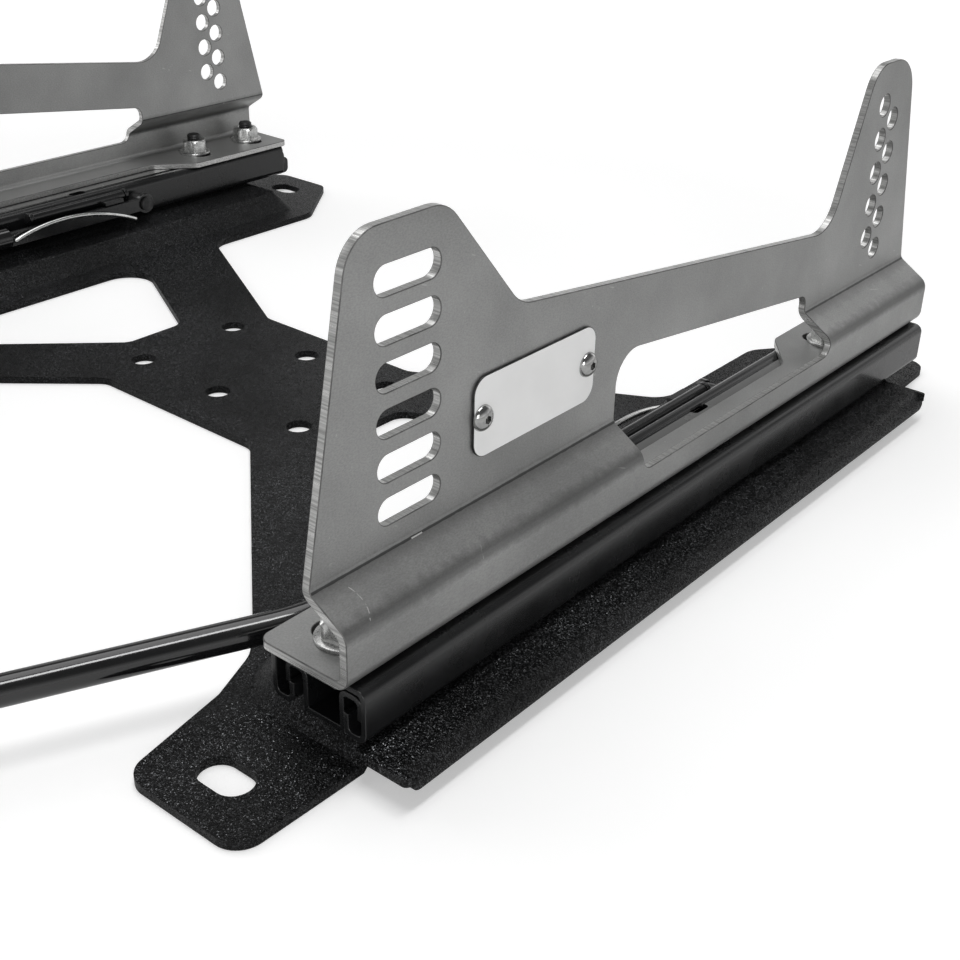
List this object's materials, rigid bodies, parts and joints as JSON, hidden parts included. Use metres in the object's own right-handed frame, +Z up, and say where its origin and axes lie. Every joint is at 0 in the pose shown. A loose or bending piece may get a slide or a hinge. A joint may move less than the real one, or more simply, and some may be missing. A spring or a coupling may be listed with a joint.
{
  "type": "sliding seat mount",
  "caption": "Bucket seat mount: two folded steel side mounts with height holes on ball-bearing sliding rails, over a flat black X-shaped floor bracket, with a U-shaped release bar.",
  "frame": {"origin": "middle of the whole mount on the floor, halfway between the two side mounts and halfway along its length with the rails closed", "axes": "+X to the right-hand rail, which carries the badge; +Y towards the rear of the seat; +Z up"},
  "size_m": [0.493, 0.5209, 0.1573],
  "materials": {
    "bracket_black": "fine textured black powder coat",
    "rail_black": "satin black coating",
    "mount_steel": "bare rolled sheet under clear coat",
    "tube_black": "gloss black",
    "zinc": "zinc plated",
    "black_oxide": "black oxide",
    "badge": "bare brushed plate",
    "badge_screw": "polished",
    "ball_steel": "polished",
    "cage_plastic": "natural",
    "glide_plastic": "matt black",
    "spring_steel": "galvanised wire"
  },
  "bodies": {
    "base": {"floor_bracket": "bracket_black", "lower_track_left": "rail_black", "lower_track_right": "rail_black", "track_screws": "black_oxide", "track_nuts": "zinc"},
    "carriage": {"upper_track_left": "rail_black", "upper_track_right": "rail_black", "side_mount_left": "mount_steel", "side_mount_right": "mount_steel", "lip_glides": "glide_plastic", "badge_plate": "badge", "badge_screws": "badge_screw", "mount_studs": "black_oxide", "flange_nuts": "zinc", "pivot_pins": "zinc", "lock_pins": "zinc"},
    "rolling_left": {"balls_left": "ball_steel", "ball_cages_left": "cage_plastic"},
    "rolling_right": {"balls_right": "ball_steel", "ball_cages_right": "cage_plastic"},
    "release": {"release_bar": "tube_black", "latch_lever_left": "rail_black", "latch_lever_right": "rail_black", "spring_wire_left": "spring_steel", "spring_wire_right": "spring_steel"},
    "lock_left": {"lock_plate_left": "rail_black"},
    "lock_right": {"lock_plate_right": "rail_black"}
  },
  "joints": [
    {"name": "seat_slide", "type": "slide", "parent": "base", "child": "carriage", "axis": [0, 1, 0], "range_m": [-0.09, 0.09]},
    {"name": "rolling_left_travel", "type": "slide", "parent": "base", "child": "rolling_left", "axis": [0, 1, 0], "range_m": [-0.046, 0.046]},
    {"name": "rolling_right_travel", "type": "slide", "parent": "base", "child": "rolling_right", "axis": [0, 1, 0], "range_m": [-0.046, 0.046]},
    {"name": "release_lift", "type": "hinge", "parent": "carriage", "child": "release", "pos_m": [0, 0.12045, 0.0242], "axis": [-1, 0, 0], "range_deg": [0, 3.6], "stiffness_Nm_per_rad": 6, "springref_deg": -11.46},
    {"name": "lock_left_turn", "type": "hinge", "parent": "carriage", "child": "lock_left", "pos_m": [-0.1889, 0.08145, 0.03], "axis": [0, -1, 0], "range_deg": [0, 24]},
    {"name": "lock_right_turn", "type": "hinge", "parent": "carriage", "child": "lock_right", "pos_m": [0.1889, 0.08145, 0.03], "axis": [0, 1, 0], "range_deg": [0, 24]}
  ],
  "couplings": [
    {"joint": "rolling_left_travel", "follows": "seat_slide", "ratio": 0.5},
    {"joint": "rolling_right_travel", "follows": "seat_slide", "ratio": 0.5},
    {"joint": "lock_left_turn", "follows": "release_lift", "ratio": 6.6},
    {"joint": "lock_right_turn", "follows": "release_lift", "ratio": 6.6}
  ]
}
